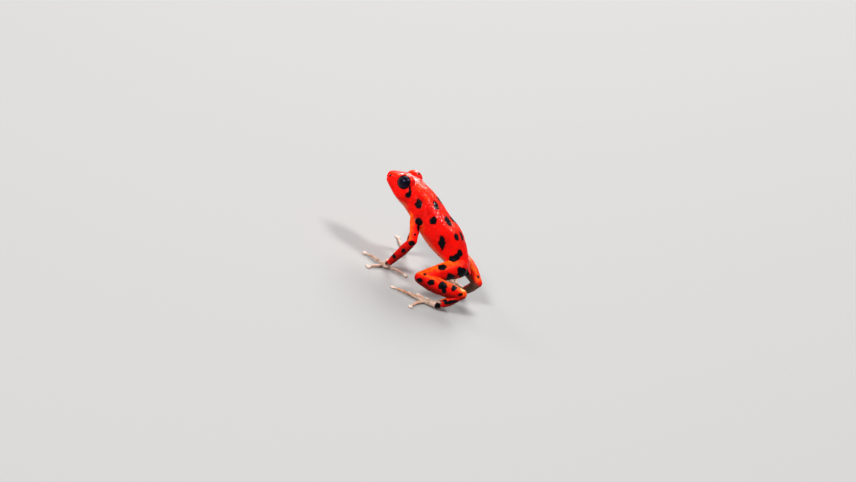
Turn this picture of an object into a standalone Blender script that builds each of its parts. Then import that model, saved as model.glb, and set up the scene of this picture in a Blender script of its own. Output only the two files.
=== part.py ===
# A strawberry poison dart frog, life size, sitting with its chest held up on straight arms and its
# hind legs folded at its sides. Lengths are in millimetres and angles in degrees until MM turns them
# into metres. +X runs from the rump to the snout, +Y to the frog's left and +Z up, with the floor at 0.

import bisect
import math

import bmesh
import bpy
from mathutils import Matrix, Vector

MM = 0.001
GAP = 0.3            # space between one node and the next
EYE_GAP = 0.2        # space between an eyeball and its cup
WELD = 0.003         # points closer than this are one point
PARTING_DEPTH = 20   # size of the box that cuts a limb off at a joint
FLOOR_DEPTH = 60
SHARP_ANGLE = 40     # edges that turn more than this are shaded sharp

TRUNK_SIDES = 24
TRUNK_STEP = 0.75    # length of trunk from one ring to the next
HEAD_STEP = 0.5
HEAD_TOP_SPANS = 6   # spans of a head ring from a lip to the middle of the crown
HEAD_JAW_SPANS = 4   # and from a lip to the middle of the throat
LIMB_SIDES = 12
LIMB_STEP = 0.8
CAP_ANGLES = (35, 65)   # rings of the ball that closes a limb
RIM_SIDES = 6

# Sections of the trunk and head from the vent to the snout: middle x and z, backward lean, half width,
# height above and below the middle, and squareness, where 2 is an ellipse.
VENT_POLE = (-11.45, 5.15)
SECTIONS = {
    "vent": (-11.2, 5.25, 44, 0.75, 0.55, 0.5, 2.0),
    "rump": (-10.3, 5.6, 40, 1.5, 0.88, 1.05, 2.0),
    "hips": (-9.1, 6.05, 34, 2.0, 1.58, 1.45, 2.0),
    "pelvis": (-7.3, 7.0, 25, 2.35, 2.28, 2.05, 2.1),
    "sacrum": (-5.05, 8.1, 26, 2.85, 2.78, 2.7, 2.1),
    "belly": (-2.8, 9.0, 27, 3.1, 2.6, 2.6, 2.15),
    "chest": (-0.25, 10.1, 26, 3.1, 2.55, 2.45, 2.15),
    "neck": (1.95, 10.85, 22, 2.95, 2.5, 2.2, 2.15),
    "jaw_corner": (3.5, 11.15, 15, 3.05, 2.4, 1.95, 2.3),
    "eyes": (4.8, 11.25, 9, 2.8, 2.18, 1.6, 2.6),
    "cheek": (5.95, 11.3, 5, 2.22, 1.88, 1.2, 2.7),
    "nostrils": (6.85, 11.28, 0, 1.68, 1.46, 0.85, 2.6),
    "lips": (7.42, 11.22, -8, 1.26, 1.2, 0.52, 2.4),
    "snout": (7.74, 11.2, -20, 0.85, 0.84, 0.3, 2.2),
}
SNOUT_POLE = (7.97, 11.36)

# The mouth line, as an angle below the widest part of the section, with a groove between two lips.
MOUTH_CORNER = "jaw_corner"
MOUTH_ANGLE_BACK = -24
MOUTH_ANGLE_FRONT = -3
MOUTH_FADE = 0.6     # length over which the groove opens at each corner
GROOVE_DEPTH = 0.24
LIP_HEIGHT = 0.07
GROOVE_SPREAD = 3.2  # angle from the groove's floor to its edge
LIP_SPREAD = 7.5     # angle from the groove's floor to a lip's crest
MOUTH_SPREAD = 16    # angle from the groove's floor to plain skin

EYE_MIDDLE = (4.48, 2.1, 12.68)
EYE_RADIUS = 1.1
LID_RADIUS = 1.45
LID_OFFSET = (-0.05, -0.34, -0.1)   # from the eyeball's middle to the middle of the lid's dome
LID_RIM_RADIUS = 1.18
LID_RIM_THICKNESS = 0.18
NOSTRIL_X = 7.23
NOSTRIL_ANGLE = 30
NOSTRIL_RADIUS = 0.2
EAR_X = 2.9
EAR_ANGLE = 14
EAR_RADIUS = 0.46
EAR_RIM = 0.13

# Middles of the joints on each side: the left is at +Y. The right side sits a little differently.
JOINTS = {
    "left": {
        "shoulder": (0.6, 1.9, 9.75),
        "elbow": (-1.8, 4.1, 6.25),
        "wrist": (-0.35, 4.2, 1.0),
        "hip": (-9.5, 1.2, 5.65),
        "knee": (-6.4, 7.35, 3.25),
        "heel": (-12.75, 4.15, 3.65),
        "foot": (-10.6, 6.3, 0.7),
    },
    "right": {
        "shoulder": (0.6, -1.9, 9.75),
        "elbow": (0.5, -3.95, 5.75),
        "wrist": (0.2, -4.95, 1.0),
        "hip": (-9.05, -1.0, 5.65),
        "knee": (-6.2, -7.3, 4.3),
        "heel": (-12.66, -3.25, 3.73),
        "foot": (-11.2, -5.0, 0.7),
    },
}
UPPER_ARM_RADII = (0.95, 0.85, 0.74, 0.66)
FOREARM_RADII = (0.68, 0.76, 0.66, 0.5)
WRIST_RADII = (0.5, 0.48, 0.44)
THIGH_RADII = (1.66, 1.46, 1.22, 0.95)
SHANK_RADII = (0.98, 1.25, 1.18, 0.82)
TARSUS_RADII = (0.78, 0.74, 0.7, 0.6)
SAG = {   # how far the middle of a limb hangs below a straight line
    "left": {"shank": 0.2, "tarsus": 0.4},
    "right": {"shank": -0.35, "tarsus": 0.2},
}

# Hands and feet. Each digit is its root and tip on the floor, its length being what lies between them.
PALM_SIZE = (0.82, 0.75, 0.46)
PALM_HEIGHT = 0.4
DIGIT_RADIUS = 0.27
DIGIT_TIP_RADIUS = 0.25
DIGIT_ARCH = 0.15    # rise of a digit's middle above its two ends
DIGIT_BASE = 0.26    # height of a digit's middle line above the floor
DIGIT_SPANS = 5
FINGER_DISC = (0.42, 0.44, 0.26)
TOE_DISC = (0.37, 0.35, 0.26)
DISC_SINK = 0.04     # how far a disc reaches below the floor before its flat is cut
HANDS = {
    "left": {
        "palm": (0.05, 4.5),
        "digits": [
            ((-0.4, 4.2), (-3.25, 2.55)),
            ((0.1, 4.1), (0.5, 1.7)),
            ((0.5, 4.35), (3.72, 4.6)),
            ((0.3, 4.8), (1.4, 8.3)),
        ],
    },
    "right": {
        "palm": (0.62, -5.3),
        "digits": [
            ((0.35, -4.95), (0.15, -3.2)),
            ((0.85, -4.95), (0.9, -2.8)),
            ((0.95, -5.6), (3.3, -8.8)),
            ((0.6, -5.75), (1.1, -8.6)),
        ],
    },
}
FEET = {
    "left": {
        "middle": (-8.5, 7.3),
        "digits": [
            ((-9.6, 6.7), (-8.75, 5.3)),
            ((-9.0, 7.0), (-7.2, 5.9)),
            ((-8.6, 7.2), (-6.2, 7.55)),
            ((-8.4, 7.4), (-3.8, 9.45)),
            ((-8.7, 7.6), (-8.2, 11.6)),
        ],
    },
    "right": {
        "middle": (-9.2, -6.0),
        "digits": [
            ((-10.3, -5.4), (-9.3, -4.1)),
            ((-9.7, -5.7), (-7.9, -4.7)),
            ((-9.3, -5.9), (-6.9, -6.2)),
            ((-9.1, -6.1), (-5.0, -8.6)),
            ((-9.3, -6.3), (-8.0, -10.3)),
        ],
    },
}
FOOT_RADII = (0.58, 0.5, 0.44)
SOLE_HEIGHT = 0.36

RED = (0.85, 0.02, 0.005)
TAN = (0.62, 0.36, 0.27)
BLACK = (0.006, 0.006, 0.01)


def start():
    for item in list(bpy.data.objects):
        bpy.data.objects.remove(item, do_unlink=True)
    frog = bpy.data.collections.new("poison_dart_frog")
    cutters = bpy.data.collections.new("cutters")
    for group in (frog, cutters):
        bpy.context.scene.collection.children.link(group)
    return frog, cutters


FROG, CUTTERS = start()


def skin(name, colour, roughness):
    material = bpy.data.materials.new(name)
    material.use_nodes = True
    surface = material.node_tree.nodes["Principled BSDF"]
    surface.inputs["Base Color"].default_value = (*colour, 1)
    surface.inputs["Roughness"].default_value = roughness
    surface.inputs["Metallic"].default_value = 0
    material.diffuse_color = (*colour, 1)
    return material


def spline(knots, rows, at):
    # A smooth curve through rows of numbers, whose slope at each knot follows the knots beside it.
    last = len(knots) - 1
    i = max(0, min(last - 1, bisect.bisect_right(knots, at) - 1))
    span = knots[i + 1] - knots[i]
    u = (at - knots[i]) / span
    ends = []
    for j in (i, i + 1):
        before, after = max(j - 1, 0), min(j + 1, last)
        run = knots[after] - knots[before]
        ends.append([(q - p) / run for p, q in zip(rows[before], rows[after])])
    first, second = 2 * u**3 - 3 * u**2 + 1, 3 * u**2 - 2 * u**3
    leave, arrive = u**3 - 2 * u**2 + u, u**3 - u**2
    return [
        first * p + second * q + span * (leave * a + arrive * b)
        for p, q, a, b in zip(rows[i], rows[i + 1], *ends)
    ]


def distances(points):
    total = [0.0]
    for a, b in zip(points, points[1:]):
        total.append(total[-1] + (Vector(b) - Vector(a)).length)
    return total


def evenly(first, last, step):
    count = max(2, round((last - first) / step))
    return [first + (last - first) * i / count for i in range(count + 1)]


def mesh_object(name, mesh_edit):
    mesh = bpy.data.meshes.new(name)
    bmesh.ops.recalc_face_normals(mesh_edit, faces=mesh_edit.faces)
    mesh_edit.to_mesh(mesh)
    mesh_edit.free()
    item = bpy.data.objects.new(name, mesh)
    CUTTERS.objects.link(item)
    item.hide_render = True
    item.display_type = "WIRE"
    return item


def loft(name, rings, start_pole=None, end_pole=None):
    # A closed skin over rings of equal count. An end without a pole is closed by a flat face.
    edit = bmesh.new()
    rows = [[edit.verts.new(Vector(p) * MM) for p in ring] for ring in rings]
    sides = len(rows[0])
    for row, following in zip(rows, rows[1:]):
        for i in range(sides):
            j = (i + 1) % sides
            edit.faces.new((row[i], row[j], following[j], following[i]))
    for row, pole in ((rows[0], start_pole), (rows[-1], end_pole)):
        if pole is None:
            edit.faces.new(row)
            continue
        tip = edit.verts.new(Vector(pole) * MM)
        for i in range(sides):
            edit.faces.new((row[i], row[(i + 1) % sides], tip))
    return mesh_object(name, edit)


TRUNK_ROWS = list(SECTIONS.values())
TRUNK_KNOTS = distances([(x, 0, z) for x, z, *_ in TRUNK_ROWS])
TRUNK_AT = dict(zip(SECTIONS, TRUNK_KNOTS))


def trunk_point(at, angle, grow=0.0):
    # A point on the trunk's skin, at a distance along it and an angle up from its left side.
    x, z, lean, width, up, down, square = spline(TRUNK_KNOTS, TRUNK_ROWS, at)
    side, rise = math.cos(math.radians(angle)), math.sin(math.radians(angle))
    power = 2 / square
    across = (width + grow) * math.copysign(abs(side) ** power, side)
    height = (up if rise > 0 else down) + grow
    along = height * math.copysign(abs(rise) ** power, rise)
    tilt = math.radians(lean)
    return Vector((x - along * math.sin(tilt), across, z + along * math.cos(tilt)))


def trunk_outward(at, angle):
    step = 0.05
    forward = trunk_point(at + step, angle) - trunk_point(at - step, angle)
    around = trunk_point(at, angle + 1) - trunk_point(at, angle - 1)
    return around.cross(forward).normalized()


def trunk_position(x):
    # The distance along the trunk at which the middle of its section is at x.
    low, high = 0.0, TRUNK_KNOTS[-1]
    for _ in range(40):
        middle = (low + high) / 2
        if spline(TRUNK_KNOTS, TRUNK_ROWS, middle)[0] < x:
            low = middle
        else:
            high = middle
    return (low + high) / 2


def mouth_angle(at):
    share = (at - TRUNK_AT[MOUTH_CORNER]) / (TRUNK_KNOTS[-1] - TRUNK_AT[MOUTH_CORNER])
    share = max(0.0, min(1.0, share))
    return MOUTH_ANGLE_BACK + (MOUTH_ANGLE_FRONT - MOUTH_ANGLE_BACK) * share


def head_ring(at):
    # The ring has seven points close together at each side, which form the groove and the lips.
    open_share = max(0.0, min(1.0, (at - TRUNK_AT[MOUTH_CORNER]) / MOUTH_FADE))
    level = mouth_angle(at)
    profile = [
        (-MOUTH_SPREAD, 0),
        (-LIP_SPREAD, LIP_HEIGHT),
        (-GROOVE_SPREAD, 0),
        (0, -GROOVE_DEPTH),
        (GROOVE_SPREAD, 0),
        (LIP_SPREAD, LIP_HEIGHT),
        (MOUTH_SPREAD, 0),
    ]
    half = [(level + turn, lift * open_share) for turn, lift in profile]
    top, bottom = half[-1][0], half[0][0]
    upper = [(top + (90 - top) * i / HEAD_TOP_SPANS, 0) for i in range(1, HEAD_TOP_SPANS + 1)]
    lower = [(-90 + (bottom + 90) * i / HEAD_JAW_SPANS, 0) for i in range(HEAD_JAW_SPANS)]
    left = lower + half + upper
    right = [(180 - angle, lift) for angle, lift in reversed(left[1:-1])]
    return [trunk_point(at, angle, lift) for angle, lift in left + right]


def torso_shape(name, grow=0.0, last=None):
    last = TRUNK_AT["neck"] - GAP / 2 if last is None else last
    angles = [360 * i / TRUNK_SIDES for i in range(TRUNK_SIDES)]
    rings = [[trunk_point(at, a, grow) for a in angles] for at in evenly(0, last, TRUNK_STEP)]
    pole = Vector((VENT_POLE[0] - grow, 0, VENT_POLE[1] - grow))
    return loft(name, rings, start_pole=pole)


def head_shape(name):
    first = TRUNK_AT["neck"] + GAP / 2
    rings = [head_ring(at) for at in evenly(first, TRUNK_KNOTS[-1], HEAD_STEP)]
    return loft(name, rings, end_pole=(SNOUT_POLE[0], 0, SNOUT_POLE[1]))


def limb(name, path, radii, sides=LIMB_SIDES, step=LIMB_STEP):
    # A round limb along a smooth path, with a ball at each end.
    path = [Vector(p) for p in path]
    knots = distances(path)
    widths = distances([(i, 0, 0) for i in range(len(radii))])
    rings = []
    middles, sizes = [], []
    for at in evenly(0, knots[-1], step):
        middles.append(Vector(spline(knots, path, at)))
        sizes.append(spline(widths, [(r,) for r in radii], at / knots[-1] * widths[-1])[0])
    ends = [(middles[0] - middles[1]).normalized(), (middles[-1] - middles[-2]).normalized()]
    places = [(middles[0] + ends[0] * sizes[0] * math.sin(math.radians(a)),
               sizes[0] * math.cos(math.radians(a)), -ends[0]) for a in reversed(CAP_ANGLES)]
    for i, (middle, size) in enumerate(zip(middles, sizes)):
        before, after = middles[max(i - 1, 0)], middles[min(i + 1, len(middles) - 1)]
        places.append((middle, size, (after - before).normalized()))
    places += [(middles[-1] + ends[1] * sizes[-1] * math.sin(math.radians(a)),
                sizes[-1] * math.cos(math.radians(a)), ends[1]) for a in CAP_ANGLES]
    across = places[0][2].orthogonal().normalized()
    for i, (middle, size, ahead) in enumerate(places):
        if i:
            across = places[i - 1][2].rotation_difference(ahead) @ across
        across = (across - ahead * across.dot(ahead)).normalized()
        other = ahead.cross(across)
        turns = [2 * math.pi * k / sides for k in range(sides)]
        rings.append([middle + size * (math.cos(t) * across + math.sin(t) * other) for t in turns])
    first, last = middles[0] + ends[0] * sizes[0], middles[-1] + ends[1] * sizes[-1]
    return loft(name, rings, start_pole=first, end_pole=last)


def adopt(name):
    # Takes the object that a primitive operator has just made as a hidden guide.
    item = bpy.context.active_object
    item.name = name
    for group in list(item.users_collection):
        group.objects.unlink(item)
    CUTTERS.objects.link(item)
    item.hide_render = True
    item.display_type = "WIRE"
    return item


def ball(name, middle, size, heading=0.0, segments=16, rings=10):
    bpy.ops.mesh.primitive_uv_sphere_add(segments=segments, ring_count=rings, radius=MM)
    item = adopt(name)
    turn = Matrix.Rotation(heading, 4, "Z")
    item.data.transform(Matrix.Translation(Vector(middle) * MM) @ turn @ Matrix.Diagonal((*size, 1)))
    return item


def ring_round(name, middle, outward, radius, thickness, segments=20):
    bpy.ops.mesh.primitive_torus_add(
        major_segments=segments,
        minor_segments=RIM_SIDES,
        major_radius=radius * MM,
        minor_radius=thickness * MM,
    )
    item = adopt(name)
    turn = Vector(outward).to_track_quat("Z", "Y").to_matrix().to_4x4()
    item.data.transform(Matrix.Translation(Vector(middle) * MM) @ turn)
    return item


def slab(name, point, outward, depth=PARTING_DEPTH):
    # A large box whose flat face passes through point, lying on the side that outward points to.
    bpy.ops.mesh.primitive_cube_add(size=depth * MM)
    item = adopt(name)
    outward = Vector(outward).normalized()
    turn = outward.to_track_quat("Z", "Y").to_matrix().to_4x4()
    middle = (Vector(point) + outward * depth / 2) * MM
    item.data.transform(Matrix.Translation(middle) @ turn)
    return item


def unfold(edit):
    # Welding can lay two faces back to back on the same points, so such pairs go.
    shared = {}
    for face in edit.faces:
        shared.setdefault(frozenset(face.verts), []).append(face)
    folded = [face for faces in shared.values() if len(faces) > 1 for face in faces]
    bmesh.ops.delete(edit, geom=folded, context="FACES")


def settle(item):
    # Applies the modifiers and keeps only the largest closed surface.
    graph = bpy.context.evaluated_depsgraph_get()
    graph.update()
    mesh = bpy.data.meshes.new_from_object(item.evaluated_get(graph))
    item.modifiers.clear()
    item.data = mesh
    edit = bmesh.new()
    edit.from_mesh(mesh)
    bmesh.ops.remove_doubles(edit, verts=edit.verts, dist=WELD * MM)
    bmesh.ops.dissolve_degenerate(edit, edges=edit.edges, dist=WELD * MM)
    unseen, islands = set(edit.verts), []
    while unseen:
        island, queue = set(), [unseen.pop()]
        while queue:
            vertex = queue.pop()
            island.add(vertex)
            near = [edge.other_vert(vertex) for edge in vertex.link_edges]
            fresh = [v for v in near if v in unseen]
            unseen.difference_update(fresh)
            queue.extend(fresh)
        islands.append(island)
    islands.sort(key=len)
    loose = [vertex for island in islands[:-1] for vertex in island]
    bmesh.ops.delete(edit, geom=loose, context="VERTS")
    bmesh.ops.triangulate(edit, faces=edit.faces)
    unfold(edit)
    bmesh.ops.recalc_face_normals(edit, faces=edit.faces)
    edit.to_mesh(mesh)
    edit.free()
    return item


def combine(item, others, operation):
    group = bpy.data.collections.new("operands")
    for other in others:
        group.objects.link(other)
    bpy.context.scene.collection.children.link(group)
    modifier = item.modifiers.new(operation.lower(), "BOOLEAN")
    modifier.operation = operation
    modifier.operand_type = "COLLECTION"
    modifier.collection = group
    modifier.solver = "EXACT"
    settle(item)
    for other in others:
        bpy.data.objects.remove(other, do_unlink=True)
    bpy.data.collections.remove(group)
    return item


def join(item, others):
    return combine(item, others, "UNION")


def cut(item, others):
    return combine(item, others, "DIFFERENCE")


def hand_in(item, name, material):
    item.name = name
    item.data.name = name
    CUTTERS.objects.unlink(item)
    FROG.objects.link(item)
    item.hide_render = False
    item.display_type = "SOLID"
    item.data.materials.clear()
    item.data.materials.append(material)
    for face in item.data.polygons:
        face.use_smooth = True
    item.data.set_sharp_from_angle(angle=math.radians(SHARP_ANGLE))
    return item


def floor_slab():
    return slab("floor", (0, 0, 0), (0, 0, -1), FLOOR_DEPTH)


def parting(before, joint, after, keep):
    # The flat face between two limbs at a joint lies half way between them. It returns the slab to cut
    # away: keep is 1 for the limb that comes before the joint and -1 for the one after it.
    joint = Vector(joint)
    first = (Vector(before) - joint).normalized()
    second = (Vector(after) - joint).normalized()
    normal = (first - second).normalized() * keep
    return slab("parting", joint + normal * GAP / 2, -normal)


def path_between(start_point, end_point, sag=0):
    first, last = Vector(start_point), Vector(end_point)
    drop = Vector((0, 0, -sag))
    return [first, first.lerp(last, 1 / 3) + drop, first.lerp(last, 2 / 3) + drop, last]


def digit(name, root, tip, disc_size):
    # A toe or finger is a tapered tube that arches from its root to a flattened disc on the floor.
    root, tip = Vector((*root, DIGIT_BASE)), Vector((*tip, DIGIT_BASE))
    curve = bpy.data.curves.new(name, "CURVE")
    curve.dimensions = "3D"
    curve.bevel_depth = MM
    curve.bevel_resolution = 2
    curve.use_fill_caps = True
    line = curve.splines.new("POLY")
    shares = [i / DIGIT_SPANS for i in range(DIGIT_SPANS + 1)]
    line.points.add(len(shares) - 1)
    for point, share in zip(line.points, shares):
        place = root.lerp(tip, share)
        place.z += DIGIT_ARCH * math.sin(math.pi * share)
        point.co = (*(place * MM), 1)
        point.radius = DIGIT_RADIUS + (DIGIT_TIP_RADIUS - DIGIT_RADIUS) * share
    source = bpy.data.objects.new(name, curve)
    CUTTERS.objects.link(source)
    bpy.context.view_layer.update()
    graph = bpy.context.evaluated_depsgraph_get()
    mesh = bpy.data.meshes.new_from_object(source.evaluated_get(graph))
    bpy.data.objects.remove(source, do_unlink=True)
    edit = bmesh.new()
    edit.from_mesh(mesh)
    bmesh.ops.remove_doubles(edit, verts=edit.verts, dist=WELD * MM)
    heading = math.atan2(tip.y - root.y, tip.x - root.x)
    disc_middle = (tip.x, tip.y, disc_size[2] - DISC_SINK)
    disc = ball(name + "_disc", disc_middle, disc_size, heading, 10, 6)
    return [mesh_object(name, edit), disc]


def eye_and_lid(side):
    middle = Vector(EYE_MIDDLE)
    middle.y *= side
    offset = Vector(LID_OFFSET)
    offset.y *= side
    dome = ball("lid_dome", middle + offset, (LID_RADIUS,) * 3)
    rim_distance = math.sqrt((EYE_RADIUS + EYE_GAP) ** 2 - LID_RIM_RADIUS**2)
    rim = ring_round(
        "lid_rim", middle - offset.normalized() * rim_distance, -offset, LID_RIM_RADIUS, LID_RIM_THICKNESS
    )
    cup = ball("eye_cup", middle, (EYE_RADIUS + EYE_GAP,) * 3)
    eyeball = ball("eyeball", middle, (EYE_RADIUS,) * 3)
    return dome, rim, cup, eyeball


def ear_rim(side):
    at = trunk_position(EAR_X)
    middle, outward = trunk_point(at, EAR_ANGLE), trunk_outward(at, EAR_ANGLE)
    middle.y *= side
    outward.y *= side
    return ring_round("ear_rim", middle, outward, EAR_RADIUS, EAR_RIM, 14)


def nostril_pit(side):
    middle = trunk_point(trunk_position(NOSTRIL_X), NOSTRIL_ANGLE)
    middle.y *= side
    return ball("nostril", middle, (NOSTRIL_RADIUS,) * 3, segments=8, rings=6)


def make_head(red, black):
    head = head_shape("head")
    raised, hollows = [], []
    for side, word in ((1, "left"), (-1, "right")):
        dome, rim, cup, eyeball = eye_and_lid(side)
        raised += [dome, rim, ear_rim(side)]
        hollows += [cup, nostril_pit(side)]
        hand_in(settle(eyeball), "eye_" + word, black)
    join(head, raised)
    cut(head, hollows)
    hand_in(head, "head", red)


def make_torso(red):
    hand_in(settle(torso_shape("torso")), "torso", red)


def make_arm(word, red, tan):
    joints = JOINTS[word]
    shoulder, elbow, wrist = (joints[key] for key in ("shoulder", "elbow", "wrist"))
    palm = HANDS[word]["palm"]
    palm_middle = (*palm, PALM_HEIGHT)
    upper = limb("upper_arm", path_between(shoulder, elbow), UPPER_ARM_RADII)
    grown_trunk = torso_shape("grown_torso", GAP, TRUNK_AT["cheek"])
    cut(upper, [grown_trunk, parting(shoulder, elbow, wrist, 1)])
    hand_in(upper, "upper_arm_" + word, red)
    fore = limb("forearm", path_between(elbow, wrist), FOREARM_RADII)
    cut(fore, [parting(shoulder, elbow, wrist, -1), parting(elbow, wrist, palm_middle, 1)])
    hand_in(fore, "forearm_" + word, red)
    hand = limb("hand", path_between(wrist, palm_middle), WRIST_RADII)
    cut(hand, [parting(elbow, wrist, palm_middle, -1)])
    pieces = [ball("palm", palm_middle, PALM_SIZE)]
    for root, tip in HANDS[word]["digits"]:
        pieces += digit("finger", root, tip, FINGER_DISC)
    join(hand, pieces)
    cut(hand, [floor_slab()])
    hand_in(hand, "hand_" + word, tan)


def make_leg(word, red, tan):
    joints = JOINTS[word]
    hip, knee, heel, ankle = (joints[key] for key in ("hip", "knee", "heel", "foot"))
    middle = FEET[word]["middle"]
    sole_middle = (*middle, SOLE_HEIGHT)
    thigh = limb("thigh", path_between(hip, knee), THIGH_RADII)
    cut(thigh, [torso_shape("grown_torso", GAP), parting(hip, knee, heel, 1)])
    hand_in(thigh, "thigh_" + word, red)
    shank = limb("shank", path_between(knee, heel, SAG[word]["shank"]), SHANK_RADII)
    cut(shank, [parting(hip, knee, heel, -1), parting(knee, heel, ankle, 1)])
    hand_in(shank, "shank_" + word, red)
    tarsus = limb("tarsus", path_between(heel, ankle, SAG[word]["tarsus"]), TARSUS_RADII)
    cut(tarsus, [parting(knee, heel, ankle, -1), parting(heel, ankle, sole_middle, 1)])
    hand_in(tarsus, "tarsus_" + word, red)
    foot = limb("foot", path_between(ankle, sole_middle), FOOT_RADII)
    cut(foot, [parting(heel, ankle, sole_middle, -1)])
    pieces = []
    for root, tip in FEET[word]["digits"]:
        pieces += digit("toe", root, tip, TOE_DISC)
    join(foot, pieces)
    cut(foot, [floor_slab()])
    hand_in(foot, "foot_" + word, tan)


def centre_on_floor():
    # Puts the origin on the floor under the middle of the whole frog.
    corners = [v.co for item in FROG.objects for v in item.data.vertices]
    low = [min(c[i] for c in corners) for i in range(3)]
    high = [max(c[i] for c in corners) for i in range(3)]
    shift = Vector((-(low[0] + high[0]) / 2, -(low[1] + high[1]) / 2, -low[2]))
    for item in FROG.objects:
        item.data.transform(Matrix.Translation(shift))


def main():
    red = skin("red_skin", RED, 0.3)
    tan = skin("pale_skin", TAN, 0.45)
    black = skin("eye_black", BLACK, 0.05)
    make_torso(red)
    make_head(red, black)
    for word in ("left", "right"):
        make_arm(word, red, tan)
        make_leg(word, red, tan)
    centre_on_floor()


main()
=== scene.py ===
# A strawberry poison dart frog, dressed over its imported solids: one moist red skin with black
# spots and pale hands and feet, and two wet black eyes. Shapes are made in millimetres, in the
# frog's own drawing, and moved to where the solids are at the end.

import bisect
import math
import random

import bpy
import numpy as np
from mathutils import Matrix, Vector, noise
from mathutils.kdtree import KDTree


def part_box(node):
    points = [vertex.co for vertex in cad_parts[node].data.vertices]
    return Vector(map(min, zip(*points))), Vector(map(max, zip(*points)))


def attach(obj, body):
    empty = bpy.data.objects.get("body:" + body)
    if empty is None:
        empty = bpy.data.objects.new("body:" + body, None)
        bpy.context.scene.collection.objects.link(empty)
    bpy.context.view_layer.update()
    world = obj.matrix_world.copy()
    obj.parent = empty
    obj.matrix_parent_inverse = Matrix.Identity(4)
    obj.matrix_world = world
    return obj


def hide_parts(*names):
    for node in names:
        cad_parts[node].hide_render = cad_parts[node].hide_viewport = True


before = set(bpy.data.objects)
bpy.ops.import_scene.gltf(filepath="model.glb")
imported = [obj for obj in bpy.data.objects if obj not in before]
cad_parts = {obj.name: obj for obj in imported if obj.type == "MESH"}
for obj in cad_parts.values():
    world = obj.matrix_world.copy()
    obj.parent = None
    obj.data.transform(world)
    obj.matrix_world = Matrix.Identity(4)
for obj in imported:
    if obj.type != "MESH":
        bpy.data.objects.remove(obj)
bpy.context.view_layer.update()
mm = 0.001
sides = {"left": 1, "right": -1}   # and the sign of y there

body = {
    "eye": (4.48, 2.1, 12.68),
    "eyeRadius": 1.1,
    "joints": {
        "left": {
            "shoulder": (0.6, 1.9, 9.75),
            "elbow": (-1.8, 4.1, 6.25),
            "wrist": (-0.35, 4.2, 1.0),
            "palm": (0.05, 4.5, 0.4),
            "hip": (-9.5, 1.2, 5.65),
            "knee": (-6.4, 7.35, 3.25),
            "heel": (-12.75, 4.15, 3.65),
            "ankle": (-10.6, 6.3, 0.7),
            "sole": (-8.5, 7.3, 0.36),
        },
        "right": {
            "shoulder": (0.6, -1.9, 9.75),
            "elbow": (0.5, -3.95, 5.75),
            "wrist": (0.2, -4.95, 1.0),
            "palm": (0.62, -5.3, 0.4),
            "hip": (-9.05, -1.0, 5.65),
            "knee": (-6.2, -7.3, 4.3),
            "heel": (-12.66, -3.25, 3.73),
            "ankle": (-11.2, -5.0, 0.7),
            "sole": (-9.2, -6.0, 0.36),
        },
    },
}
lowEye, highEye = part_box("eye_left")
offset = (lowEye + highEye) / 2 / mm - Vector(body["eye"])   # from the drawing to the solids


def toFrame(point):
    return (Vector(point) + offset) * mm


def link(name, data):
    thing = bpy.data.objects.new(name, data)
    bpy.context.collection.objects.link(thing)
    return thing


# The photograph is 856 pixels wide, and the camera is rolled because the frog stands on a level
# floor here.
photo = {
    "width": 856,
    "height": 482,
    "lens": 100,
    "sensor": 36,
    "elevation": 21,
    "behind": 11,
    "roll": 31,
    "distance": 371.5,
    "aim": (-3.3, 1.42, 6.63),
    "clip": (0.005, 20),   # metres
}
photo["pixel"] = photo["sensor"] / photo["lens"] / photo["width"]   # its size, one unit away


def photoAxes():
    up, behind, roll = (math.radians(photo[k]) for k in ("elevation", "behind", "roll"))
    back = Vector((-math.sin(behind) * math.cos(up), math.cos(behind) * math.cos(up), math.sin(up)))
    level = Vector((0, 0, 1)).cross(back).normalized()
    steep = back.cross(level)
    right = math.cos(roll) * level + math.sin(roll) * steep
    above = math.cos(roll) * steep - math.sin(roll) * level
    return right, above, back


def makeCamera():
    right, above, back = photoAxes()
    data = bpy.data.cameras.new("photoCamera")
    data.lens = photo["lens"]
    data.sensor_width = photo["sensor"]
    data.clip_start, data.clip_end = photo["clip"]
    camera = link("photoCamera", data)
    place = toFrame(Vector(photo["aim"]) + back * photo["distance"])
    turn = Matrix((right, above, back)).transposed().to_4x4()
    camera.matrix_world = Matrix.Translation(place) @ turn
    bpy.context.scene.camera = camera


def photoRay(x, y):
    # Where the camera stands, and which way it looks through a pixel, in the drawing.
    right, above, back = photoAxes()
    across = (x - photo["width"] / 2) * photo["pixel"]
    rise = (photo["height"] / 2 - y) * photo["pixel"]
    start = Vector(photo["aim"]) + back * photo["distance"]
    return start, (right * across + above * rise - back).normalized()


def throughRows(knots, rows, at):
    # A smooth curve through rows of numbers.
    last = len(knots) - 1
    i = max(0, min(last - 1, bisect.bisect_right(knots, at) - 1))
    span = knots[i + 1] - knots[i]
    u = (at - knots[i]) / span
    slopes = []
    for j in (i, i + 1):
        before, after = max(j - 1, 0), min(j + 1, last)
        run = knots[after] - knots[before]
        slopes.append([(q - p) / run for p, q in zip(rows[before], rows[after])])
    first, second = 2 * u**3 - 3 * u**2 + 1, 3 * u**2 - 2 * u**3
    leave, arrive = u**3 - 2 * u**2 + u, u**3 - u**2
    return [
        first * p + second * q + span * (leave * a + arrive * b)
        for p, q, a, b in zip(rows[i], rows[i + 1], *slopes)
    ]


def lengthsAlong(points):
    total = [0.0]
    for a, b in zip(points, points[1:]):
        total.append(total[-1] + (Vector(b) - Vector(a)).length)
    return total


def evenly(first, last, step):
    count = max(2, round((last - first) / step))
    return [first + (last - first) * i / count for i in range(count + 1)]


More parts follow.
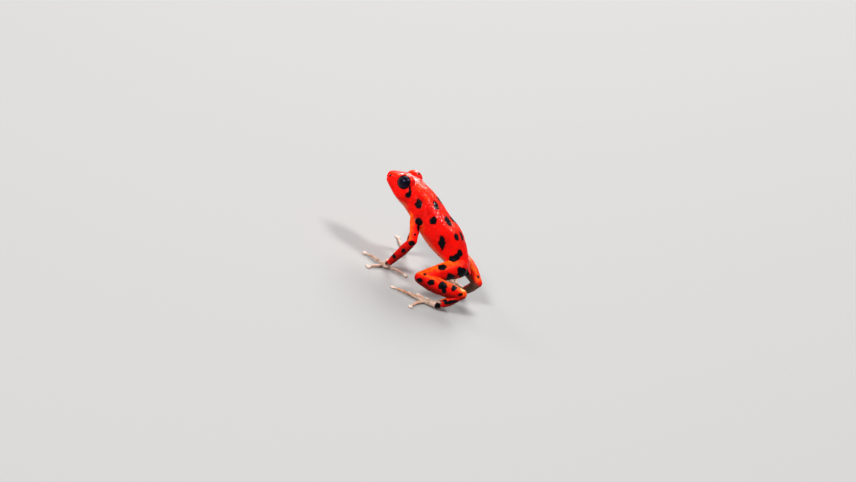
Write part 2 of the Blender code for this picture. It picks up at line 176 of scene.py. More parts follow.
class Flesh:
    # Gathers closed shapes, which the remesh then melts into one skin.
    def __init__(self):
        self.points = []
        self.faces = []

    def add(self, points, faces):
        start = len(self.points)
        self.points += [tuple(p) for p in points]
        self.faces += [tuple(start + i for i in face) for face in faces]

    def tube(self, rings, firstTip, lastTip):
        sides = len(rings[0])
        points = [p for ring in rings for p in ring] + [firstTip, lastTip]
        faces = []
        for row in range(len(rings) - 1):
            for i in range(sides):
                j = (i + 1) % sides
                a, b = row * sides, (row + 1) * sides
                faces.append((a + i, a + j, b + j, b + i))
        tip = len(points) - 2
        last = (len(rings) - 1) * sides
        for i in range(sides):
            j = (i + 1) % sides
            faces.append((i, tip, j))
            faces.append((last + i, last + j, tip + 1))
        self.add(points, faces)

    def ball(self, middle, size, turn=Matrix.Identity(3), sides=32):
        rings = []
        for i in range(1, sides // 2):
            lift = math.pi * i / (sides // 2)
            ring = []
            for k in range(sides):
                around = 2 * math.pi * k / sides
                x = math.sin(lift) * math.cos(around) * size[0]
                y = math.sin(lift) * math.sin(around) * size[1]
                ring.append(Vector(middle) + turn @ Vector((x, y, -math.cos(lift) * size[2])))
            rings.append(ring)
        low = Vector(middle) + turn @ Vector((0, 0, -size[2]))
        high = Vector(middle) + turn @ Vector((0, 0, size[2]))
        self.tube(rings, low, high)


# Torso and head. A section holds its middle x and z, backward lean, half width, height above and
# below the middle, and squareness, where 2 is an ellipse.
torso = {
    "sides": 72,
    "step": 0.16,
    "fineStep": 0.02,   # in the search for a place by its x
    "girth": 2.3,   # how far the skin is from its middle line, where limbs and torso are told apart
    "ventTip": (-11.45, 0, 5.15),
    "snoutTip": (7.97, 0, 11.36),
    "sections": {
        "vent": (-11.2, 5.25, 44, 0.75, 0.55, 0.5, 2.0),
        "rump": (-10.3, 5.6, 40, 1.5, 0.88, 1.05, 2.0),
        "hips": (-9.1, 6.05, 34, 2.0, 1.58, 1.45, 2.0),
        "pelvis": (-7.3, 7.0, 25, 2.35, 2.28, 2.05, 2.1),
        "sacrum": (-5.05, 8.1, 26, 2.85, 2.78, 2.7, 2.1),
        "belly": (-2.8, 9.0, 27, 3.1, 2.6, 2.6, 2.15),
        "chest": (-0.25, 10.1, 26, 3.1, 2.55, 2.45, 2.15),
        "neck": (1.95, 10.85, 22, 2.95, 2.5, 2.2, 2.15),
        "jawCorner": (3.5, 11.15, 15, 3.05, 2.4, 1.95, 2.3),
        "eyes": (4.8, 11.25, 9, 2.8, 2.18, 1.6, 2.6),
        "cheek": (5.95, 11.3, 5, 2.22, 1.88, 1.2, 2.7),
        "nostrils": (6.85, 11.28, 0, 1.68, 1.46, 0.85, 2.6),
        "lips": (7.42, 11.22, -8, 1.26, 1.2, 0.52, 2.4),
        "snout": (7.74, 11.2, -20, 0.85, 0.84, 0.3, 2.2),
    },
    # Soft rises and hollows of the flesh: where along x, at what angle up from the side, how far
    # each reaches along and round, and how high it stands.
    "swells": {
        "hipBone": (-6.6, 58, 2.2, 15, 0.12),
        "tailBone": (-8.2, 90, 1.8, 14, 0.04),
        "spineHollow": (-4.0, 90, 3.4, 10, -0.05),
        "shoulderBlade": (0.7, 48, 1.3, 18, 0.12),
        "flankHollow": (-6.3, -8, 1.1, 22, -0.14),
        "ribs": (-1.9, -5, 1.9, 26, 0.06),
        "throat": (3.6, -90, 1.3, 34, 0.12),
        "browRidge": (6.0, 56, 0.8, 10, 0.06),
        "lore": (6.2, 24, 0.6, 14, -0.1),
        "jawMuscle": (3.0, -12, 0.7, 14, 0.07),
    },
}
torsoRows = list(torso["sections"].values())
torsoKnots = lengthsAlong([(x, 0, z) for x, z, *others in torsoRows])
torsoAt = dict(zip(torso["sections"], torsoKnots))


def torsoSwell(x, angle):
    total = 0.0
    for alongX, turn, reach, spread, height in torso["swells"].values():
        if abs(x - alongX) > 3 * reach:
            continue
        near = min(abs((angle - t + 180) % 360 - 180) for t in (turn, 180 - turn))
        total += height * math.exp(-(((x - alongX) / reach) ** 2) - (near / spread) ** 2)
    return total


def torsoPoint(at, angle, grow=0.0):
    x, z, lean, width, up, down, square = throughRows(torsoKnots, torsoRows, at)
    side, rise = math.cos(math.radians(angle)), math.sin(math.radians(angle))
    grow += torsoSwell(x, angle)
    across = (width + grow) * math.copysign(abs(side) ** (2 / square), side)
    height = (up if rise > 0 else down) + grow
    along = height * math.copysign(abs(rise) ** (2 / square), rise)
    tilt = math.radians(lean)
    return Vector((x - along * math.sin(tilt), across, z + along * math.cos(tilt)))


def torsoAtX(x):
    places = evenly(0, torsoKnots[-1], torso["fineStep"])
    return min(places, key=lambda at: abs(throughRows(torsoKnots, torsoRows, at)[0] - x))


def makeTorso(flesh):
    angles = [360 * i / torso["sides"] for i in range(torso["sides"])]
    stations = evenly(0, torsoKnots[-1], torso["step"])
    rings = [[torsoPoint(at, a) for a in angles] for at in stations]
    flesh.tube(rings, Vector(torso["ventTip"]), Vector(torso["snoutTip"]))


# Limbs are round. Each runs from one joint to another, with a radius at a few even steps.
limbs = {
    "sides": 28,
    "step": 0.16,
    "endRings": (80, 65, 50, 35, 18),   # degrees towards the tip, over each rounded end
    "parts": {
        "upperArm": ("shoulder", "elbow", (0.95, 0.85, 0.74, 0.66)),
        "forearm": ("elbow", "wrist", (0.68, 0.76, 0.66, 0.5)),
        "wrist": ("wrist", "palm", (0.5, 0.48, 0.44)),
        "thigh": ("hip", "knee", (1.66, 1.46, 1.22, 0.95)),
        "shank": ("knee", "heel", (0.98, 1.25, 1.18, 0.82)),
        "tarsus": ("heel", "ankle", (0.78, 0.74, 0.7, 0.6)),
        "foot": ("ankle", "sole", (0.56, 0.46, 0.4)),
    },
    "sag": {   # how far the middle of a limb hangs below a straight line
        "left": {"shank": 0.2, "tarsus": 0.4},
        "right": {"shank": -0.35, "tarsus": 0.2},
    },
}


def limbEnds(side, name):
    return [Vector(body["joints"][side][joint]) for joint in limbs["parts"][name][:2]]


def limbPath(side, name):
    first, last = limbEnds(side, name)
    drop = Vector((0, 0, -limbs["sag"][side].get(name, 0)))
    return [first, first.lerp(last, 1 / 3) + drop, first.lerp(last, 2 / 3) + drop, last]


def roundedEnd(middle, width, outward, ahead):
    places = []
    for bend in limbs["endRings"]:
        lift, reach = math.cos(math.radians(bend)), math.sin(math.radians(bend))
        places.append((middle + outward * width * reach, width * lift, ahead))
    return places


def makeLimb(flesh, path, radii, around, step):
    knots = lengthsAlong(path)
    stations = evenly(0, knots[-1], step)
    middles = [Vector(throughRows(knots, [tuple(p) for p in path], at)) for at in stations]
    last = len(radii) - 1
    sizes, rows = evenly(0, last, 1), [(r,) for r in radii]
    widths = [throughRows(sizes, rows, at / knots[-1] * last)[0] for at in stations]
    low, high = (middles[0] - middles[1]).normalized(), (middles[-1] - middles[-2]).normalized()
    places = roundedEnd(middles[0], widths[0], low, -low)
    for i, (middle, width) in enumerate(zip(middles, widths)):
        before, after = middles[max(i - 1, 0)], middles[min(i + 1, len(middles) - 1)]
        places.append((middle, width, (after - before).normalized()))
    places += reversed(roundedEnd(middles[-1], widths[-1], high, high))
    rings = []
    for middle, width, ahead in places:
        across = Vector((0, 0, 1)).cross(ahead).normalized()
        above = ahead.cross(across)
        turns = [2 * math.pi * k / around for k in range(around)]
        rings.append([middle + width * (math.cos(t) * across + math.sin(t) * above) for t in turns])
    flesh.tube(rings, middles[0] + low * widths[0], middles[-1] + high * widths[-1])


def makeLimbs(flesh):
    for side in sides:
        for name, (*_, radii) in limbs["parts"].items():
            makeLimb(flesh, limbPath(side, name), radii, limbs["sides"], limbs["step"])


# Each digit runs from its root to its tip on the floor. Its bend is how far its middle lies to
# the left of a straight line. Places along it are shares of its length.
digits = {
    "height": 0.24,
    "tipHeight": 0.15,
    "arch": 0.14,
    "sides": 20,
    "step": 0.06,
    "rings": 40,
    "root": 0.24,
    "middle": 0.195,
    "middleAt": 0.45,
    "tip": 0.15,
    "knuckles": (0.34, 0.64),
    "knuckleSize": 0.04,
    "knuckleWidth": 0.05,
    "waist": 0.015,
    "waistAt": 0.86,
    "waistWidth": 0.06,
    "palm": (0.8, 0.72, 0.44),
    "fingerDisc": (0.4, 0.48, 0.165),
    "toeDisc": (0.35, 0.4, 0.155),
    "discSink": 0.03,
    "plate": (0.66, 0.42, 0.5),   # of the disc's own size
    "plateAhead": 0.02,
    "plateAside": 0.46,
    "plateLift": 0.7,
    "hands": {
        "left": [
            ((-0.4, 4.2), (-3.25, 2.55), 0.1),
            ((0.1, 4.1), (0.5, 1.7), 0.08),
            ((0.5, 4.35), (3.72, 4.6), -0.12),
            ((0.3, 4.8), (1.4, 8.3), 0.12),
        ],
        "right": [
            ((0.35, -4.95), (0.15, -3.2), -0.06),
            ((0.85, -4.95), (0.9, -2.8), -0.06),
            ((0.95, -5.6), (3.3, -8.8), 0.12),
            ((0.6, -5.75), (1.1, -8.6), -0.1),
        ],
    },
    "feet": {
        "left": [
            ((-9.6, 6.7), (-8.75, 5.3), 0.05),
            ((-9.0, 7.0), (-7.2, 5.9), -0.06),
            ((-8.6, 7.2), (-6.2, 7.55), -0.1),
            ((-8.4, 7.4), (-3.8, 9.45), -0.14),
            ((-8.7, 7.6), (-8.2, 11.6), -0.12),
        ],
        "right": [
            ((-10.3, -5.4), (-9.3, -4.1), -0.05),
            ((-9.7, -5.7), (-7.9, -4.7), 0.06),
            ((-9.3, -5.9), (-6.9, -6.2), 0.1),
            ((-9.1, -6.1), (-5.0, -8.6), 0.14),
            ((-9.3, -6.3), (-8.0, -10.3), 0.12),
        ],
    },
}


def digitLine(root, tip, bend):
    root, tip = Vector((*root, digits["height"])), Vector((*tip, digits["tipHeight"]))
    aside = Vector((-(tip.y - root.y), tip.x - root.x, 0)).normalized()
    line = []
    for share in (0, 0.2, 0.4, 0.6, 0.8, 1):
        lift = math.sin(math.pi * share)
        line.append(root.lerp(tip, share) + aside * bend * lift + Vector((0, 0, digits["arch"] * lift)))
    return line


def makeDigit(flesh, root, tip, bend, disc):
    line = digitLine(root, tip, bend)
    knots, rows = [0, digits["middleAt"], 1], [(digits[key],) for key in ("root", "middle", "tip")]
    radii = []
    for i in range(digits["rings"] + 1):
        share = i / digits["rings"]
        size = throughRows(knots, rows, share)[0]
        for knuckle in digits["knuckles"]:
            near = (share - knuckle) / digits["knuckleWidth"]
            size += digits["knuckleSize"] * math.exp(-(near**2))
        near = (share - digits["waistAt"]) / digits["waistWidth"]
        size -= digits["waist"] * math.exp(-(near**2))
        radii.append(size)
    makeLimb(flesh, line, radii, digits["sides"], digits["step"])
    ahead = line[-1] - line[-2]
    ahead.z = 0
    ahead.normalize()
    aside = Vector((-ahead.y, ahead.x, 0))
    turn = Matrix((ahead, aside, Vector((0, 0, 1)))).transposed()
    middle = Vector((line[-1].x, line[-1].y, disc[2] - digits["discSink"]))
    flesh.ball(middle, disc, turn)
    plate = [size * share for size, share in zip(disc, digits["plate"])]
    for hand in (-1, 1):   # the two small plates on a disc's back
        spot = middle + ahead * digits["plateAhead"] + aside * hand * disc[1] * digits["plateAside"]
        spot += Vector((0, 0, disc[2] * digits["plateLift"]))
        flesh.ball(spot, plate, turn, digits["sides"])


def makeHandsAndFeet(flesh):
    for side in sides:
        flesh.ball(body["joints"][side]["palm"], digits["palm"])
        for group, disc in (("hands", "fingerDisc"), ("feet", "toeDisc")):
            for root, tip, bend in digits[group][side]:
                makeDigit(flesh, root, tip, bend, digits[disc])


# The lids stand up from the crown as domes, and a raised rim runs round each opening.
lids = {
    "domeRadius": 1.43,
    "domeOffset": (-0.05, -0.34, -0.1),
    "domeSides": 48,
    "rimRadius": 1.07,
    "rimThickness": 0.1,
    "rimAhead": 0.46,
    "rimSides": (64, 14),
    "opening": 65,       # half the angle that the lids leave open, seen from the eyeball's middle
    "snap": 1.6,         # points as near as this to the edge, in degrees, move onto it
    "lip": 0.055,        # how far the edge stands off the eyeball, and how wide it is in degrees
    "lipWidth": 5,
    "depth": 0.7,        # where the skin ends behind the eyeball's front, in eye radii
    "clear": 0.02,
    "reach": (1.9, 100),   # how far from the eyeball's middle, in eye radii, and at what angle
    "foldAngle": 80,
    "foldWidth": 3.5,
    "foldDepth": 0.035,
    "foldAbove": (-0.2, 0.5),   # it fades out below these heights over the eyeball's middle
    "blackTo": 67.5,
    "blackSharp": 3,
    "blackReach": 1.5,
}


def mirrored(point, side):
    point = Vector(point)
    point.y *= sides[side]
    return point


def eyeFrame(side):
    # The middle of an eyeball and the way that it looks out of its lids.
    middle = mirrored(body["eye"], side)
    return middle, -mirrored(lids["domeOffset"], side).normalized()


def makeLids(flesh):
    radius = lids["domeRadius"]
    around, tube = lids["rimSides"]
    for side in sides:
        middle, outward = eyeFrame(side)
        dome = middle + mirrored(lids["domeOffset"], side)
        flesh.ball(dome, (radius, radius, radius), sides=lids["domeSides"])
        # The rim is a ring of flesh, closed on itself.
        sideways = outward.orthogonal().normalized()
        upright = outward.cross(sideways)
        centre = middle + outward * lids["rimAhead"]
        points, faces = [], []
        for i in range(around):
            a = 2 * math.pi * i / around
            spoke = math.cos(a) * sideways + math.sin(a) * upright
            for j in range(tube):
                b = 2 * math.pi * j / tube
                reach = lids["rimRadius"] + lids["rimThickness"] * math.cos(b)
                points.append(centre + spoke * reach + outward * lids["rimThickness"] * math.sin(b))
                k, m = (i + 1) % around, (j + 1) % tube
                faces.append((i * tube + j, k * tube + j, k * tube + m, i * tube + m))
        flesh.add(points, faces)


# The melted skin: one closed mesh over everything, relaxed where limbs join the body.
skinMesh = {
    "voxel": 0.052,
    "calm": 2,   # rounds of smoothing everywhere, before those at the joins
    "softenRounds": 120,
    "joins": {   # reach and strength at each place where the flesh flows together
        "shoulder": (1.75, 0.9),
        "elbow": (0.9, 0.45),
        "wrist": (0.7, 0.3),
        "palm": (0.9, 0.12),
        "hip": (2.5, 1.0),
        "knee": (1.3, 0.5),
        "heel": (1.1, 0.4),
        "ankle": (0.8, 0.3),
        "sole": (1.2, 0.12),
    },
    "softPlaces": {
        "snout": ((7.75, 0, 11.5), 1.15, 0.35),
        "vent": ((-11.1, 0, 5.3), 1.0, 0.3),
    },
    # The hollow where a lid rises from the crown, measured from the eyeball's middle.
    "lidRoot": {"away": 1.75, "width": 0.45, "ahead": 0.25, "strength": 0.35},
}


def meltTogether(flesh):
    mesh = bpy.data.meshes.new("flesh")
    mesh.from_pydata(flesh.points, [], flesh.faces)
    mesh.update()
    lump = link("flesh", mesh)
    melt = lump.modifiers.new("melt", "REMESH")
    melt.mode = "VOXEL"
    melt.voxel_size = skinMesh["voxel"]
    melt.use_smooth_shade = True
    graph = bpy.context.evaluated_depsgraph_get()
    melted = bpy.data.meshes.new_from_object(lump.evaluated_get(graph))
    bpy.data.objects.remove(lump, do_unlink=True)
    melted.name = "frogSkin"
    return melted


def pointsOf(mesh, what="co"):
    values = np.empty(len(mesh.vertices) * 3)
    mesh.vertices.foreach_get(what, values)
    return values.reshape(-1, 3)


def putPlaces(mesh, places):
    mesh.vertices.foreach_set("co", places.astype(np.float32).ravel())
    mesh.update()


def pushOut(mesh, amounts):
    putPlaces(mesh, pointsOf(mesh) + pointsOf(mesh, "normal") * amounts[:, None])


def neighboursOf(mesh):
    # Each edge twice, once from either end, and how many edges meet at each point.
    pairs = np.empty(len(mesh.edges) * 2, np.int32)
    mesh.edges.foreach_get("vertices", pairs)
    ends = np.concatenate([pairs[0::2], pairs[1::2]])
    others = np.concatenate([pairs[1::2], pairs[0::2]])
    return ends, others, np.maximum(np.bincount(ends, minlength=len(mesh.vertices)), 1)


def spread(mesh, values, rounds):
    # Lets painted values run into one another along the skin.
    ends, others, count = neighboursOf(mesh)
    for _ in range(rounds):
        values = (values + np.bincount(ends, values[others], len(values)) / count) / 2
    return values


def relax(mesh, rounds, strength):
    # Moves each point towards the middle of its neighbours, by strength, a number for each point.
    ends, others, count = neighboursOf(mesh)
    places = pointsOf(mesh)
    moving = np.broadcast_to(strength, (len(places),))[:, None]
    for _ in range(rounds):
        middles = np.stack([np.bincount(ends, places[others, k], len(places)) for k in range(3)], 1)
        places = places + (middles / count[:, None] - places) * moving
    putPlaces(mesh, places)


def step01(value, low, high):
    # 0 below the low end, 1 above the high end and a soft step between.
    share = np.clip((value - low) / (high - low), 0, 1)
    return share * share * (3 - 2 * share)


def bell(value, middle, width):
    # 1 at the middle, and nearly 0 two widths away from it.
    return np.exp(-(((value - middle) / width) ** 2))


def awayFrom(places, point):
    return np.linalg.norm(places - np.array(point), axis=1)


def awayFromLine(places, line):
    # The distance from each place to a line of points, and how far along it the nearest point is.
    best = np.full(len(places), 1e9)
    along = np.zeros(len(places))
    walked = 0.0
    total = lengthsAlong(line)[-1]
    for a, b in zip(line, line[1:]):
        a, b = np.array(a), np.array(b)
        run = b - a
        length = np.linalg.norm(run)
        share = np.clip((places - a) @ run / length**2, 0, 1)
        away = np.linalg.norm(places - a - share[:, None] * run, axis=1)
        near = away < best
        best[near] = away[near]
        along[near] = (walked + share[near] * length) / total
        walked += length
    return best, along


def eyeReach(places, side):
    # The way from an eyeball's middle to each place, its length, and its angle to the eye's look.
    middle, outward = (np.array(v) for v in eyeFrame(side))
    reach = places - middle
    away = np.maximum(np.linalg.norm(reach, axis=1), 1e-6)
    return reach, away, np.degrees(np.arccos(np.clip(reach @ outward / away, -1, 1)))


def softenJoins(mesh):
    relax(mesh, skinMesh["calm"], 0.5)
    places = pointsOf(mesh)
    strength = np.zeros(len(places))
    soft = list(skinMesh["softPlaces"].values())
    for side in sides:
        joints = body["joints"][side]
        soft += [(joints[name], reach, most) for name, (reach, most) in skinMesh["joins"].items()]
        reach, away, _ = eyeReach(places, side)
        lid = skinMesh["lidRoot"]
        behind = reach @ np.array(eyeFrame(side)[1]) < lid["ahead"]
        root = bell(away, lid["away"], lid["width"]) * behind
        strength = np.maximum(strength, lid["strength"] * root)
    for middle, reach, most in soft:
        strength = np.maximum(strength, most * np.exp(-((awayFrom(places, middle) / reach) ** 4)))
    relax(mesh, skinMesh["softenRounds"], 0.5 * strength)


# What the knife and thumb of a modeller would add last: mouth, nostrils, ears, lids and folds.
face = {
    "from": 1.5,           # nothing is carved behind this x
    "mouthBack": -24,
    "mouthFront": -3,
    "mouthStep": 0.18,
    "mouthFade": 0.05,
    "mouthDepth": 0.16,
    "mouthWidth": 0.1,
    "lipHeight": 0.035,
    "lipAway": 0.25,
    "lipWidth": 0.12,
    "lipSoft": (6, 0.5, 0.5),   # rounds, strength and reach of the smoothing along the lips
    "nostrilX": 7.23,
    "nostrilAngle": 30,
    "nostrilSlit": 4,      # half its height, as an angle round the snout
    "nostrilRadius": 0.11,
    "nostrilDepth": 0.14,
    "nostrilRim": 0.015,
    # how far the painted shade inside each nostril reaches
    "nostrilShadeReach": 0.15,
    "earX": 2.9,
    "earAngle": 14,
    "earRadius": 0.46,
    "earRim": 0.05,
    "earRimWidth": 0.09,
    "earSink": 0.07,
    "earFloor": 0.15,
}


def mouthLine():
    # From the left corner round the snout to the right corner.
    first, last = torsoAt["jawCorner"], torsoKnots[-1]
    left = []
    for at in evenly(first, last, face["mouthStep"]):
        share = (at - first) / (last - first)
        angle = face["mouthBack"] + (face["mouthFront"] - face["mouthBack"]) * share
        left.append(torsoPoint(at, angle))
    tip = Vector(torso["snoutTip"])
    tip.z = left[-1].z
    right = [Vector((p.x, -p.y, p.z)) for p in reversed(left)]
    return left + [tip] + right


def nostrilLine(side):
    at = torsoAtX(face["nostrilX"])
    angles = [face["nostrilAngle"] + hand * face["nostrilSlit"] for hand in (-1, 1)]
    return [mirrored(torsoPoint(at, angle), side) for angle in angles]


def carveFace(mesh):
    places = pointsOf(mesh)
    push, near = np.zeros(len(places)), np.zeros(len(places))
    nostrilShade = np.full(len(places), outside)
    head = places[:, 0] > face["from"]
    here = places[head]
    away, along = awayFromLine(here, mouthLine())
    fade = face["mouthFade"]
    groove = -face["mouthDepth"] * bell(away, 0, face["mouthWidth"])
    lips = face["lipHeight"] * bell(away, face["lipAway"], face["lipWidth"])
    amount = (groove + lips) * (step01(along, 0.0, fade) * step01(1 - along, 0.0, fade))
    radius = face["nostrilRadius"]
    for side in sides:
        gone, _ = awayFromLine(here, nostrilLine(side))
        # Painted shade: the nostril pits are painted black inside.
        nostrilShade[head] = np.maximum(nostrilShade[head], face["nostrilShadeReach"] - gone)
        amount -= face["nostrilDepth"] * bell(gone, 0, radius)
        amount += face["nostrilRim"] * bell(gone, 2 * radius, radius)
        ear = mirrored(torsoPoint(torsoAtX(face["earX"]), face["earAngle"]), side)
        gone = awayFrom(here, ear)
        amount += face["earRim"] * bell(gone, face["earRadius"], face["earRimWidth"])
        amount -= face["earSink"] * (1 - step01(gone, face["earFloor"], face["earRadius"]))
    push[head] = amount
    pushOut(mesh, push)
    rounds, strength, reach = face["lipSoft"]
    near[head] = strength * (1 - step01(away, reach / 2, reach))
    relax(mesh, rounds, near)
    return nostrilShade


def openLids(mesh):
    # Points over the front of an eyeball sink behind it, and the rest stay just clear of it.
    places = pointsOf(mesh)
    size, edge, snap = body["eyeRadius"], lids["opening"], lids["snap"]
    farthest, widest = lids["reach"]
    for side in sides:
        middle, outward = (np.array(v) for v in eyeFrame(side))
        reach, away, angle = eyeReach(places, side)
        near = (away < farthest * size) & (angle < widest)
        covered = np.maximum(away, size + lids["clear"])
        fold = lids["foldDepth"] * step01(reach[:, 2], *lids["foldAbove"])
        covered -= fold * bell(angle, lids["foldAngle"], lids["foldWidth"])
        covered += (size + lids["lip"] - covered) * bell(angle, edge, lids["lipWidth"])
        wanted = np.where(near, np.where(angle < edge - snap, lids["depth"] * size, covered), away)
        ahead = reach @ outward
        spoke = reach - ahead[:, None] * outward
        spoke /= np.maximum(np.linalg.norm(spoke, axis=1), 1e-6)[:, None]
        turn = np.radians(np.where(near & (np.abs(angle - edge) < snap), edge, angle))
        facing = np.cos(turn)[:, None] * outward + np.sin(turn)[:, None] * spoke
        places = middle + facing * wanted[:, None]
    putPlaces(mesh, places)


# Folds of loose skin: the joint each lies at, where from it, which way it runs, depth and width.
folds = {
    "armpit": ("shoulder", (-1.1, 1.0, -1.0), (0.9, 0.3, 1.2), 1.5, 0.12, 0.14),
    "armFront": ("shoulder", (0.75, 0.55, -0.9), (0.25, 0.25, 1), 1.5, 0.07, 0.14),
    "elbow": ("elbow", (0.62, 0.1, 0.15), (0.1, 1, 0.1), 1.1, 0.06, 0.08),
    "groin": ("hip", (1.9, 1.3, 0.3), (0.3, 0.9, -0.8), 1.6, 0.1, 0.16),
    "wristFirst": ("wrist", (0, 0, 0.3), (0, 1, 0), 1.0, 0.04, 0.06),
    "wristSecond": ("wrist", (0, 0, 0.55), (0, 1, 0), 1.0, 0.03, 0.06),
    "ankleFirst": ("ankle", (0.1, 0, 0.5), (-0.5, 1, 0), 1.0, 0.04, 0.06),
    "ankleSecond": ("ankle", (-0.2, 0, 0.75), (-0.5, 1, 0), 1.0, 0.03, 0.06),
}
grain = {
    "size": 0.33,
    "height": 0.042,
    "edge": 0.45,           # how soft the furrows between grains are
    "middle": 0.6,          # the part of a grain's height that lies below the plain skin
    "lumpSize": 0.9,
    "lumpHeight": 0.05,
    "lumpOff": 0.75,        # how much of its height the hands and feet lack
    "warp": 0.12,           # how far the grains are pushed out of line
    "warpSize": 0.5,
    "seed": 5,
    "patchSize": 2.2,
    "patchStrength": (0.75, 0.5),
    "offLids": (70, 105),   # degrees from the way the eye looks
    "lidReach": 1.6,        # eye radii
    "face": (3.2, 6.0),     # between these x it gets finer, on the upper side
    "faceAbove": 9,
    "faceOff": 0.6,
}
cover = {   # how far down a limb, from its first joint here to its second, the pale skin starts
    "joints": {"arm": ("elbow", "wrist", "palm"), "leg": ("heel", "ankle", "sole")},
    "arm": (0.93, 1.14),
    "leg": (0.84, 1.12),
    "legLift": 0.22,        # how much sooner on the upper side
    "legThick": 0.6,        # the height over the leg's middle line that counts as its upper side
    "legEnds": (-0.6, 1),
    "reach": 1.1,
    "aside": 0.8,           # hands and feet lie this far from the middle plane
    "below": 2.2,
    "digitBelow": 1.0,
    "digitFade": 0.3,
    "offJoint": (0.6, 0.9),   # below that height all is pale, this far from the wrist or ankle
    "bare": 0.95,           # skin as pale as this has no grain
}


def foldSkin(mesh):
    places = pointsOf(mesh)
    push = np.zeros(len(places))
    for side in sides:
        for joint, start, run, length, depth, width in folds.values():
            middle = Vector(body["joints"][side][joint]) + mirrored(start, side)
            half = mirrored(run, side).normalized() * length / 2
            away, along = awayFromLine(places, [middle - half, middle + half])
            push -= depth * bell(away, 0, width) * np.sin(np.pi * np.clip(along, 0, 1)) ** 0.5
    pushOut(mesh, push)


def handCover(places):
    # 1 on the hands and feet, falling to 0 up the forearm and the tarsus.
    total = np.zeros(len(places))
    offJoints = []
    for side, sign in sides.items():
        for key, names in cover["joints"].items():
            line = [np.array(body["joints"][side][name]) for name in names]
            a, b = line[:2]
            run = b - a
            share = (places - a) @ run / (run @ run)
            if key == "leg":
                lift = (places - a - share[:, None] * run)[:, 2] / cover["legThick"]
                share = share + cover["legLift"] * np.clip(lift, *cover["legEnds"])
            away, _ = awayFromLine(places, line)
            own = (places[:, 1] * sign > cover["aside"]) & (places[:, 2] < cover["below"])
            total = np.maximum(total, step01(share, *cover[key]) * (own & (away < cover["reach"])))
            offJoints.append(awayFrom(places, b))
    flat = step01(cover["digitBelow"] - places[:, 2], 0.0, cover["digitFade"])
    digit = np.abs(places[:, 1]) > cover["aside"]
    return np.maximum(total, flat * digit * step01(np.min(offJoints, axis=0), *cover["offJoint"]))


def grainSkin(mesh):
    # Small grains cover the back and flanks, and broad soft lumps keep the flesh from looking cast.
    places = pointsOf(mesh)
    push, patchy = np.zeros(len(places)), np.zeros(len(places))
    even, uneven = grain["patchStrength"]
    noise.seed_set(grain["seed"])   # or the grains would lie differently each time
    for i, (place, pale) in enumerate(zip(places, handCover(places))):
        here = Vector(place)
        if pale < cover["bare"]:
            bent = here + noise.noise_vector(here / grain["warpSize"]) * grain["warp"]
            first, second = noise.voronoi(bent / grain["size"])[0][:2]
            dome = min(1.0, (second - first) / grain["edge"])
            push[i] = grain["height"] * (dome - grain["middle"]) * (1 - pale)
        lump = grain["lumpHeight"] * noise.noise(here / grain["lumpSize"])
        push[i] += lump * (1 - grain["lumpOff"] * pale)
        patchy[i] = even + uneven * noise.noise(here / grain["patchSize"])
    push *= patchy
    for side in sides:   # the lids' edges stay clean
        _, away, angle = eyeReach(places, side)
        near = away < grain["lidReach"] * body["eyeRadius"]
        push *= 1 - near * (1 - step01(angle, *grain["offLids"]))
    fine = step01(places[:, 0], *grain["face"]) * (places[:, 2] > grain["faceAbove"])
    pushOut(mesh, push * (1 - grain["faceOff"] * fine))


def standOnFloor(mesh):
    places = pointsOf(mesh)
    places[:, 2] = np.maximum(places[:, 2], 0.0)
    putPlaces(mesh, places)


